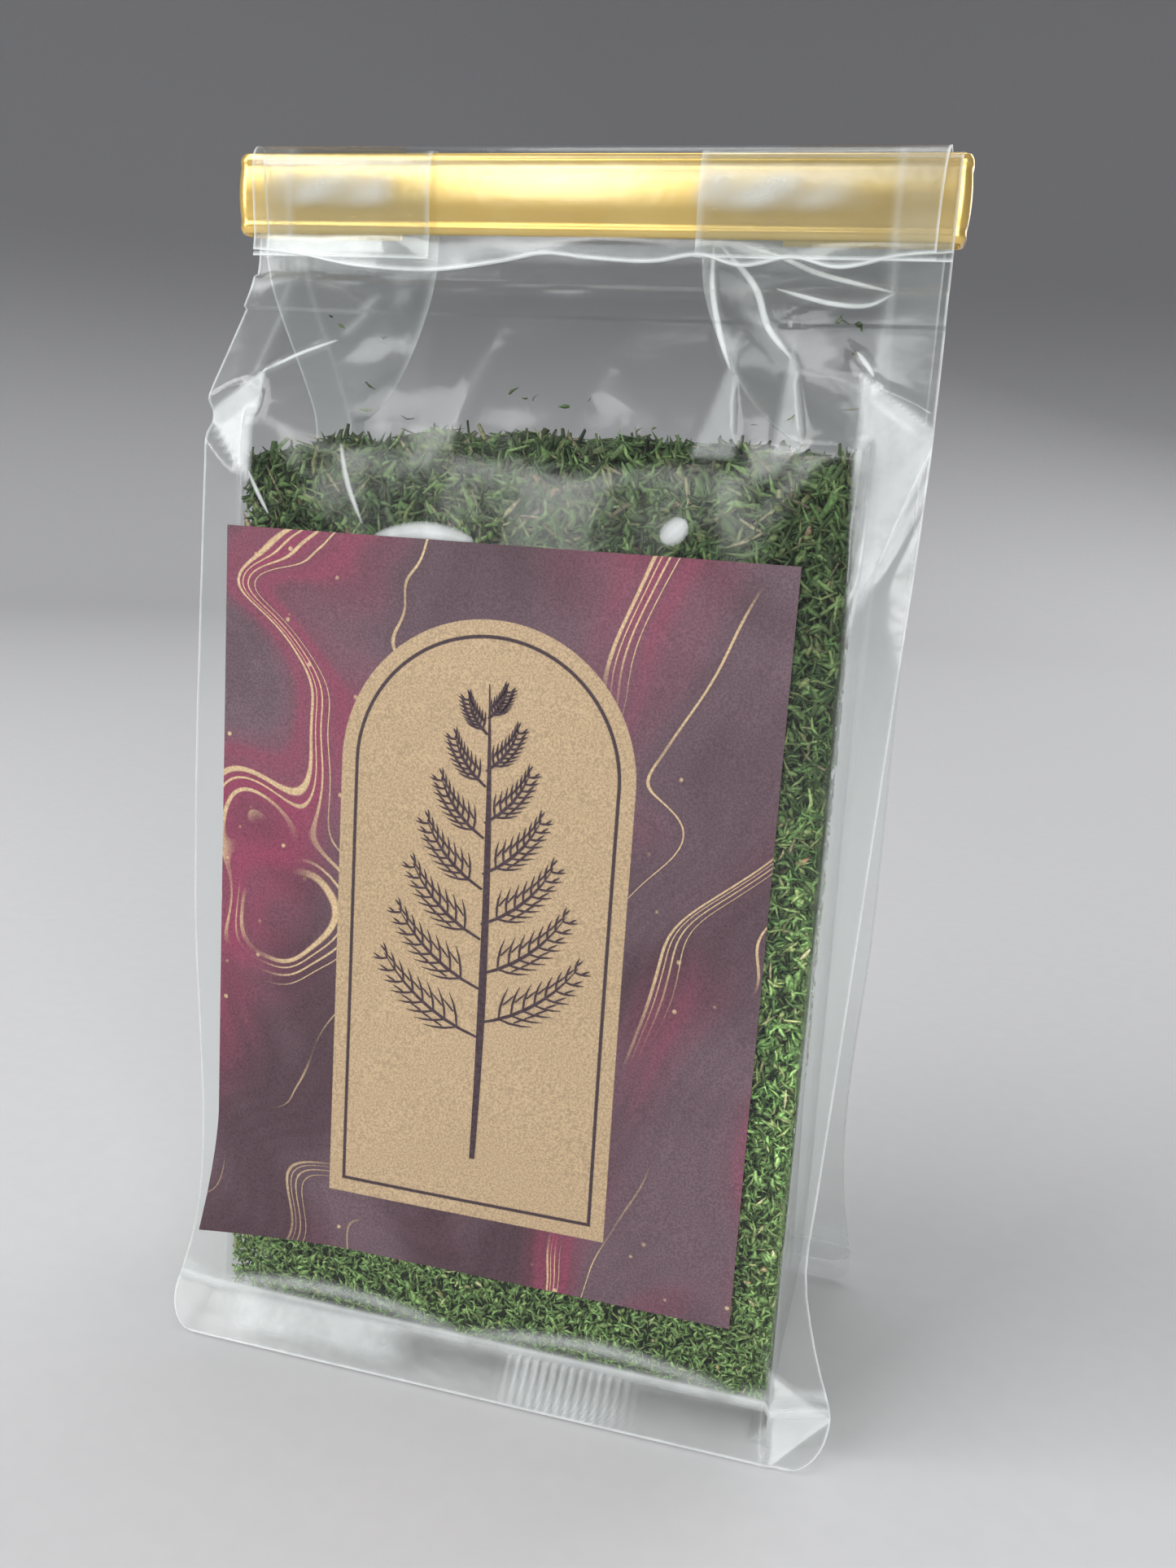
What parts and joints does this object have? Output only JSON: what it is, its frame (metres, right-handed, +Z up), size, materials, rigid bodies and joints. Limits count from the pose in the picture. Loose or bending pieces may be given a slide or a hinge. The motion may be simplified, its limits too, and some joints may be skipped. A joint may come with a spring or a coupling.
{
  "type": "bag of dried dill",
  "caption": "Clear flat-bottomed film bag of dried dill threads with corner seal fins, folded side gussets, a paper front label and a gold tin tie holding its folded neck shut.",
  "frame": {"origin": "middle of the flat base that the bag stands on", "axes": "+Z up along the bag's height, +X along its width to the right seen from the front, -Y out of the labelled front"},
  "size_m": [0.0906, 0.0482, 0.1551],
  "materials": {
    "film": "clear glossy film",
    "dill": "dry matt plant threads, mid to dark green",
    "label_paper": "printed uncoated paper, plum, tan and gold",
    "gold_strip": "gold foil laminate",
    "wire_steel": "plain soft wire"
  },
  "bodies": {
    "root": {"bag_film": "film", "dill_fill": "dill", "label": "label_paper", "tie_strip": "gold_strip", "tie_wire_upper": "wire_steel", "tie_wire_lower": "wire_steel"}
  },
  "joints": []
}
